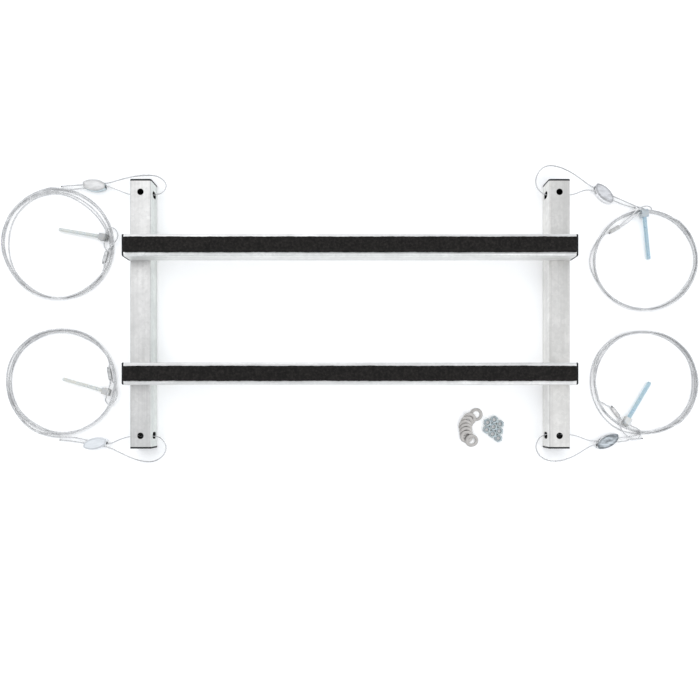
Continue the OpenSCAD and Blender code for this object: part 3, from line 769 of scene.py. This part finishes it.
def grip_shell(twist):
    """The casting before its channels are cut: soft edges and a thin parting line at mid height."""
    edge, edge_steps, half = 1.2, 8, GRIP_H / 2
    flash, flash_half, flash_foot = 0.18, 0.2, 0.5  # how far the parting line stands out, and its heights
    panel_in, panel_down = 2.8, 0.5
    floor_in, middle_in = panel_in + 0.5, panel_in + 3.4
    near = 0.01
    levels = []
    for k in range(edge_steps + 1):
        a = math.pi / 2 * k / edge_steps
        levels.append((edge * (1 - math.sin(a)), -half + edge * (1 - math.cos(a))))
    levels += [(0.0, -flash_foot), (-flash, -flash_half), (-flash, flash_half), (0.0, flash_foot)]
    levels += [(inset, -z) for inset, z in levels[edge_steps::-1]]
    top = levels[-1][1]
    floor = top - panel_down
    levels += [(panel_in, top), (floor_in, floor), (middle_in, floor)]
    levels = [(middle_in, -floor), (floor_in, -floor), (panel_in, -top)] + levels
    rings = []
    for inset, z in levels:
        outline = leaf_outline(twist, inset)
        rings.append(np.column_stack([outline, np.full(len(outline), z)]))
    columns = len(rings[0])
    kinds = []
    # Each band of faces goes to the panel, to the rim with its painted shade, or to the walls with their
    # painted reflection
    for (inset_a, z_a), (inset_b, z_b) in zip(levels[:-1], levels[1:]):
        if max(abs(z_a), abs(z_b)) <= half - edge + near:
            kinds.append(WALL_PAINTED_REFLECTION)
        elif min(inset_a, inset_b) < panel_in - near:
            kinds.append(RIM_PAINTED_SHADE)
        else:
            kinds.append(PANEL)
    return np.vstack(rings), capped(len(rings), columns), np.repeat(kinds, columns)


def grip_placed(c, points):
    """Points about a grip's middle, leaning its way and laid where it lies."""
    leaning = np.asarray(points) * [1, GRIP_LEAN[c], 1]
    return turned(leaning, GRIP_ANGLE[c]) + np.array([*GRIP_PLACE[c], GRIP_H / 2])


def cut_with(obj, cutters):
    """Takes closed meshes out of an object, and removes them."""
    for cutter in cutters:
        cut = obj.modifiers.new("cut", "BOOLEAN")
        cut.operation = "DIFFERENCE"
        cut.solver = "EXACT"
        cut.material_mode = "TRANSFER"
        cut.object = cutter
    graph = bpy.context.evaluated_depsgraph_get()
    made = bpy.data.meshes.new_from_object(obj.evaluated_get(graph))
    obj.modifiers.clear()
    obj.data = made
    for cutter in cutters:
        bpy.data.objects.remove(cutter)


def make_grip(c, materials, mouth_painted_shade):
    """A cast body with two through channels, each with a flared mouth at both ends."""
    name = f"{CORNERS[c]}_grip_casting"
    verts, faces, kinds = grip_shell(BODY_TWIST[c])
    sharp_angle, sides = 35, 32
    end, flare = GRIP_LEN / 2, 4  # the mouths widen from flare mm inside the ends
    bore, mouth = (1.75, 1.75), (4.4, 6.4)  # half width and half height, the mouth's flare mm outside

    body = f"{CORNERS[c]}_grip"
    obj = new_object(name, grip_placed(c, verts), faces, materials[PANEL], body, sharp_angle)
    obj.data.materials.append(materials[RIM_PAINTED_SHADE])
    obj.data.materials.append(materials[WALL_PAINTED_REFLECTION])
    for face, kind in enumerate(kinds):
        obj.data.polygons[face].material_index = int(kind)
    profile = [(-end - flare, *mouth), (-end + flare, *bore), (end - flare, *bore), (end + flare, *mouth)]
    around = ring_angles(sides)
    cutters = []
    for side in (1, -1):
        rings = [
            [(x, side * CHANNEL_Y + wide * math.cos(a), tall * math.sin(a)) for a in around]
            for x, wide, tall in profile
        ]
        tool = grip_placed(c, np.array(rings).reshape(-1, 3))
        cutters.append(new_object(f"{name}_tool", tool, capped(len(profile), sides), mouth_painted_shade, body))
    # The cut channel and mouth faces take the cutters' near-black material: painted shade inside the
    # channels
    cut_with(obj, cutters)
    obj.data.shade_smooth()
    obj.data.set_sharp_from_angle(angle=math.radians(sharp_angle))
    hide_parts(f"{CORNERS[c]}_grip_body")


def make_grip_springs(c, material):
    """Two small coil springs of round wire behind the wedges."""
    coils, wire_r, mean_r = 5, 0.27, 0.97
    per_coil, sides = 20, 8
    t = np.linspace(0, 1, coils * per_coil)
    a = 2 * math.pi * coils * t
    x = SPRING_X0 + wire_r + (SPRING_X1 - SPRING_X0 - 2 * wire_r) * t
    parts = []
    for side in (0, 180):
        path = np.column_stack([x, SPRING_Y + mean_r * np.cos(a), mean_r * np.sin(a)])
        path = grip_placed(c, turned(path, side))
        parts.append((swept(path, wire_r, ring_angles(sides)), capped(len(path), sides)))
    verts, faces = merge(parts)
    obj = new_object(f"{CORNERS[c]}_coil_springs", verts, faces, material, f"{CORNERS[c]}_grip", 80)
    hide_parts(f"{CORNERS[c]}_grip_springs")


def stud_placed(c, verts):
    """Points along X laid where a stud lies, from its pivot down towards the floor."""
    drop = math.degrees(math.asin((STUD_PIVOT[c][2] - STUD_TIP_Z) / STUD_REACH))
    return turned(turned(verts, drop, "y"), STUD_ANGLE[c]) + np.array(STUD_PIVOT[c], float)


def thread_depth(phase):
    """How far a 60 degree thread lies under its crest, 0 to 1, at a phase of the pitch."""
    crest, flank = 0.14, 0.66  # shares of half a pitch
    from_crest = np.abs((phase % 1.0) - 0.5) * 2
    return np.clip((from_crest - crest) / flank, 0, 1)


def make_stud_rod(c, material):
    """A rod with a cut thread, chamfered at its tip and sunk in the head at its root."""
    sides, per_pitch, deep = 28, 8, 0.68
    chamfer, chamfer_len = 0.9, 1.2
    x = np.arange(STUD_ROOT_X, STUD_REACH + 1e-6, STUD_PITCH / per_pitch)
    around = ring_angles(sides)
    phase = x[:, None] / STUD_PITCH - around[None, :] / (2 * math.pi)
    r = STUD_D / 2 - deep * thread_depth(phase)
    tip = STUD_D / 2 - chamfer * np.maximum(0, 1 - (STUD_REACH - x) / chamfer_len)
    r = np.minimum(r, tip[:, None])
    lengths = np.broadcast_to(x[:, None], r.shape)
    verts = np.stack([lengths, r * np.cos(around), r * np.sin(around)], axis=-1)
    placed = stud_placed(c, verts.reshape(-1, 3))
    body = f"{CORNERS[c]}_stud"
    obj = new_object(f"{CORNERS[c]}_thread", placed, capped(len(x), sides), material, body, 30)
    # How far each point lies under the thread's crest; the material paints shade in the roots by it
    add_values(obj, "groove", np.clip((STUD_D / 2 - r) / deep, 0, 1).ravel())
    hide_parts(f"{CORNERS[c]}_stud_rod")


# ---- Foam strips and loose hardware ----
def make_pad(end, material):
    """A foam strip cut by hand: wavy edges, soft corners and a slightly uneven top."""
    y0 = RAIL_YS[end]
    seed = 10 if end == "front" else 40
    steps, half_w, r = 389, PAD_W / 2, 0.9
    waver, waves = 0.28, (6, 9, 240)  # mm that the edges stray; how many waves, and from and to what length
    swell, swell_len = 0.05, 13.7
    ripple, ripple_len, ripple_drift = 0.03, 5.3, 7.0
    ripple_turn, sunk, end_drop = 1.9, 0.12, 0.35
    x = np.linspace(-PAD_LEN / 2, PAD_LEN / 2, steps)
    section = [(-half_w, 0.0), (-half_w, 1.6), (-half_w, 3.4), (-half_w, PAD_T - r)]
    section += [(-half_w + r * (1 - math.cos(a)), PAD_T - r + r * math.sin(a)) for a in (0.5, 1.05)]
    section += [(y, PAD_T) for y in np.linspace(-half_w + r, half_w - r, 13)]
    section += [(-y, z) for y, z in section[5:3:-1]] + [(-y, z) for y, z in section[3::-1]]
    section = np.array(section)
    left = waver * wobble(x, seed, *waves)
    right = waver * wobble(x, seed + 1, *waves)
    rings = []
    for i, t in enumerate(x):
        y, z = section[:, 0].copy(), section[:, 1].copy()
        share = (y + half_w) / PAD_W
        y += (1 - share) * left[i] + share * right[i]
        top = z > 0.5
        sag = swell * math.sin(t / swell_len + seed) + ripple * math.sin(t / ripple_len + 2 * seed)
        crossing = ripple * np.sin(y[top] * ripple_turn + t / ripple_drift)
        z[top] += (sag + crossing) * z[top] / PAD_T - sunk
        from_end = PAD_LEN / 2 - abs(t)
        if from_end < 1.0:
            z[z > PAD_T / 2] -= end_drop * (1 - from_end)
        rings.append(np.column_stack([np.full(len(y), t), y + y0, z + PAD_Z]))
    faces = capped(len(x), len(section))
    obj = new_object(f"foam_strip_{end}", np.vstack(rings), faces, material, "root", 50)
    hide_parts(f"pad_{end}")


def washer_mesh():
    """A stamped washer: rolled over on one face's edges, sheared square on the other's."""
    ro, ri, half = WASHER_D / 2, WASHER_HOLE_D / 2, WASHER_T / 2
    roll, sheared, sides = 0.38, 0.06, 72
    bend = [(roll * (1 - math.cos(a)), roll * (1 - math.sin(a))) for a in np.linspace(0, math.pi / 2, 5)]
    outer = [(ro - sheared, -half), (ro, -half + sheared)] + [(ro - dx, half - dz) for dx, dz in bend]
    inner = [(ri + dx, half - dz) for dx, dz in bend[::-1]] + [(ri, -half + sheared), (ri + sheared, -half)]
    return lathe(outer + inner, sides)


def make_washers(material):
    """The fanned washers: the first lies flat, and each of the others leans on the one before."""
    spin = 37  # degrees that each washer is turned from the one before
    verts, faces = washer_mesh()
    lift = WASHER_D / 2 * math.sin(math.radians(FAN_TILT)) + WASHER_T / 2 * math.cos(math.radians(FAN_TILT))
    parts = []
    for i, (dx, dy) in enumerate(FAN_STEPS):
        leaning = i > 0
        placed = turned(turned(verts, spin * i), FAN_TILT if leaning else 0, "x")
        place = np.array([FAN_PLACE[0] + dx, FAN_PLACE[1] + dy, lift if leaning else WASHER_T / 2])
        parts.append((placed + place, faces))
    obj = new_object("stamped_washers", *merge(parts), material, "root", 35)
    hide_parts("loose_washers")


def nut_mesh():
    """A hexagon nut: faces chamfered to a circle and a threaded bore with countersunk ends."""
    sides, per_pitch, deep, pitch = 72, 8, 0.62, STUD_PITCH
    bore_r, mouth_r = 3.4, 4.25
    chamfer, chamfer_steps, below_flat, past_corner = 0.75, 6, 0.2, 0.4
    around = ring_angles(sides)
    to_flat = (np.degrees(around) + 30) % 60 - 30
    hexagon = NUT_AF / 2 / np.cos(np.radians(to_flat))
    corner = NUT_AF / math.sqrt(3)
    outside = []
    for k in range(chamfer_steps + 1):
        z = chamfer * k / chamfer_steps
        circle = NUT_AF / 2 - below_flat + (corner + past_corner - NUT_AF / 2) * (z / chamfer)
        outside.append((z, circle))
    outside += [(NUT_H - z, circle) for z, circle in outside[::-1]]
    rounds = [(z, np.minimum(hexagon, circle)) for z, circle in outside]
    for z in np.arange(NUT_H, -1e-6, -pitch / per_pitch):
        phase = z / pitch - around / (2 * math.pi)
        thread = bore_r + deep * (1 - thread_depth(phase))
        sink = mouth_r - min(z, NUT_H - z)
        rounds.append((z, np.maximum(thread, sink)))
    rings = [np.column_stack([r * np.cos(around), r * np.sin(around), np.full(sides, z)]) for z, r in rounds]
    return np.vstack(rings), grid_faces(len(rings), sides, close_rows=True)


def make_nuts(material):
    """The loose nuts, side by side in three columns."""
    verts, faces = nut_mesh()
    pitch = NUT_AF + NUT_GAP
    parts = []
    for column, rows in NUT_COLUMNS:
        for row in rows:
            place = np.array([column * pitch * math.cos(math.radians(30)), row * pitch, 0.0])
            parts.append((turned(verts + place, NUT_TURN) + np.array([*NUT_PLACE, 0.0]), faces))
    obj = new_object("plated_nuts", *merge(parts), material, "root", 32)
    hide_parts("loose_nuts")


def soften_edges(obj, width_mm, material):
    """Shows a CAD node as it is, with its sharp edges broken and a material of its own."""
    obj.data.materials.clear()
    obj.data.materials.append(material)
    weld = obj.modifiers.new("weld", "WELD")
    weld.merge_threshold = 0.00001
    bevel = obj.modifiers.new("bevel", "BEVEL")
    bevel.width = width_mm * MM
    bevel.segments = 2
    bevel.limit_method = "ANGLE"
    bevel.angle_limit = math.radians(50)
    bevel.harden_normals = True


# ---- Floor, lights and camera ----
def make_stage():
    half = 6.0
    verts = [(-half, -half, 0), (half, -half, 0), (half, half, 0), (-half, half, 0)]
    mesh = bpy.data.meshes.new("floor")
    mesh.from_pydata(verts, [], [(0, 1, 2, 3)])
    mesh.materials.append(pale_floor())
    floor = bpy.data.objects.new("floor", mesh)
    bpy.context.scene.collection.objects.link(floor)


def area_light(name, place, size, power):
    """A round lamp that faces the middle of the frame."""
    data = bpy.data.lights.new(name, "AREA")
    data.shape = "DISK"
    data.size = size
    data.energy = power
    lamp = bpy.data.objects.new(name, data)
    lamp.location = place
    lamp.rotation_mode = "QUATERNION"
    lamp.rotation_quaternion = Vector(place).to_track_quat("Z", "Y")
    bpy.context.scene.collection.objects.link(lamp)


def make_lights():
    area_light("key", (-1.2, 1.6, 2.6), 3.6, 30)
    area_light("fill", (1.8, -1.2, 2.4), 3.4, 22)
    world = bpy.data.worlds.new("studio")
    bpy.context.scene.world = world
    world.use_nodes = True
    background = world.node_tree.nodes["Background"]
    background.inputs[0].default_value = (0.93, 0.96, 1.0, 1.0)
    background.inputs[1].default_value = 0.88


def make_camera():
    """The photo looks straight down, from over the front of the frame, with a shifted lens."""
    data = bpy.data.cameras.new("photo")
    data.sensor_width = 36.0
    data.lens = 31.78
    data.shift_y = 0.0786
    camera = bpy.data.objects.new("photo", data)
    camera.location = (0.0, -0.163, 1.142)
    bpy.context.scene.collection.objects.link(camera)
    bpy.context.scene.camera = camera
    bpy.context.scene.view_settings.view_transform = "Standard"


# ---- Tones and broken edges ----
# Each tube's two tones: its top, and its side walls, whose tone is a painted reflection of the floor (much
# lighter on the cross tubes)
RAIL_TOP_AND_PAINTED_WALL_TONES = {
    "front": [(0.87, 0.865, 0.85), (0.88, 0.875, 0.86)],
    "back": [(0.87, 0.865, 0.85), (0.86, 0.86, 0.845)],
}
CROSS_TOP_AND_PAINTED_WALL_TONES = {
    "left": [(0.665, 0.655, 0.64), (0.79, 0.815, 0.79)],
    "right": [(0.70, 0.685, 0.66), (0.89, 0.88, 0.855)],
}
# One tone for each corner, in the order of CORNERS
GRIP_TONES = [(0.61, 0.605, 0.60), (0.76, 0.76, 0.775), (0.80, 0.82, 0.84), (0.50, 0.54, 0.57)]
# The rims are darkened by these shares as painted shade
GRIP_RIM_PAINTED_SHADE_SHARES = [0.85, 0.68, 0.80, 0.62]  # of the panel's tone
GRIP_FLOW_MARKS = [0.84, 0.72, 0.92, 0.34]  # of the tone
# The walls' tones are a painted reflection of the surroundings: lighter on three corners, bluish on the back
# left
GRIP_WALL_PAINTED_REFLECTION_TONES = [(0.62, 0.70, 0.73), (0.93, 0.93, 0.94), (0.92, 0.93, 0.95), (0.90, 0.91, 0.92)]
FERRULE_TONES = [(0.54, 0.54, 0.54), (0.60, 0.595, 0.58), (0.54, 0.54, 0.535), (0.61, 0.60, 0.59)]
HEAD_TONES = [(0.30, 0.31, 0.32), (0.49, 0.55, 0.60), (0.48, 0.49, 0.50), (0.51, 0.53, 0.54)]
ROD_TONES = [(0.87, 0.91, 0.92), (0.70, 0.86, 0.96), (0.93, 0.96, 0.96), (0.70, 0.86, 0.95)]
# mm that sharp edges are broken by
HEAD_EDGE, WEDGE_EDGE, TUBE_EDGE, PLUG_EDGE, BOLT_EDGE = 0.6, 0.15, 0.25, 0.3, 0.2


# ---- The scene ----
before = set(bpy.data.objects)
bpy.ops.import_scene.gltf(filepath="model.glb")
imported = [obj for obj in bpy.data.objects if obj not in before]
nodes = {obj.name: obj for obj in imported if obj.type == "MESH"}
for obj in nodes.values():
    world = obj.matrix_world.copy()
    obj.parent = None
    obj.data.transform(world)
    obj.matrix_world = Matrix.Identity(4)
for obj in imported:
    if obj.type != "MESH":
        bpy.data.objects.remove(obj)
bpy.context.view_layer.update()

rope_metal = wire_rope()
zinc = zinc_plate("zinc_plated", (0.66, 0.75, 0.80))
wedge_steel = hardened_steel("hardened_steel", (0.30, 0.30, 0.31))
spring_steel = hardened_steel("spring_wire", (0.62, 0.62, 0.63))
plastic = moulded_plastic()
foam_black = foam()
# Near black, put on the grips' channel and mouth faces as painted shade, built with the hardened-steel nodes
channel_painted_shade = hardened_steel("channel_walls_painted_shade", (0.018, 0.018, 0.018))

for c, corner in enumerate(CORNERS):
    make_rope(c, rope_metal)
    make_ferrule(c, crimped_aluminium(f"ferrule_{corner}", FERRULE_TONES[c]))
    # The rim is painted darker than the panel as shade, and the walls take a painted reflection
    rim_painted_shade_tone = tuple(GRIP_RIM_PAINTED_SHADE_SHARES[c] * tone for tone in GRIP_TONES[c])
    tones = {"panel": GRIP_TONES[c], "rim": rim_painted_shade_tone, "wall": GRIP_WALL_PAINTED_REFLECTION_TONES[c]}
    castings = [
        die_cast(f"die_cast_{kind}_{corner}", tone, GRIP_FLOW_MARKS[c]) for kind, tone in tones.items()
    ]
    make_grip(c, castings, channel_painted_shade)
    make_grip_springs(c, spring_steel)
    make_stud_rod(c, zinc_plate(f"rod_{corner}", ROD_TONES[c]))
    soften_edges(nodes[f"{corner}_stud_head"], HEAD_EDGE, zinc_plate(f"head_{corner}", HEAD_TONES[c]))
    for wedge in ("wedge_standing", "wedge_tail"):
        soften_edges(nodes[f"{corner}_{wedge}"], WEDGE_EDGE, wedge_steel)

for end in RAIL_YS:
    make_pad(end, foam_black)
    rail_metal = galvanised(f"galvanised_{end}", "x", (RAIL_YS[end], 1.5 * TUBE_W), RAIL_TOP_AND_PAINTED_WALL_TONES[end])
    soften_edges(nodes[f"rail_{end}"], TUBE_EDGE, rail_metal)
for side in ("left", "right"):
    cross_metal = galvanised(f"galvanised_{side}", "y", (CROSS_X[side], TUBE_W / 2), CROSS_TOP_AND_PAINTED_WALL_TONES[side])
    soften_edges(nodes[f"cross_tube_{side}"], TUBE_EDGE, cross_metal)
    for end in RAIL_YS:
        soften_edges(nodes[f"plug_cross_{side}_{end}"], PLUG_EDGE, plastic)
        soften_edges(nodes[f"plug_rail_{end}_{side}"], PLUG_EDGE, plastic)
make_washers(tumbled_steel())
make_nuts(zinc_plate("nut_zinc", (0.37, 0.43, 0.46)))
for name in ("crossing_bolts", "crossing_washers", "threaded_inserts"):
    soften_edges(nodes[name], BOLT_EDGE, zinc)

make_stage()
make_lights()
make_camera()
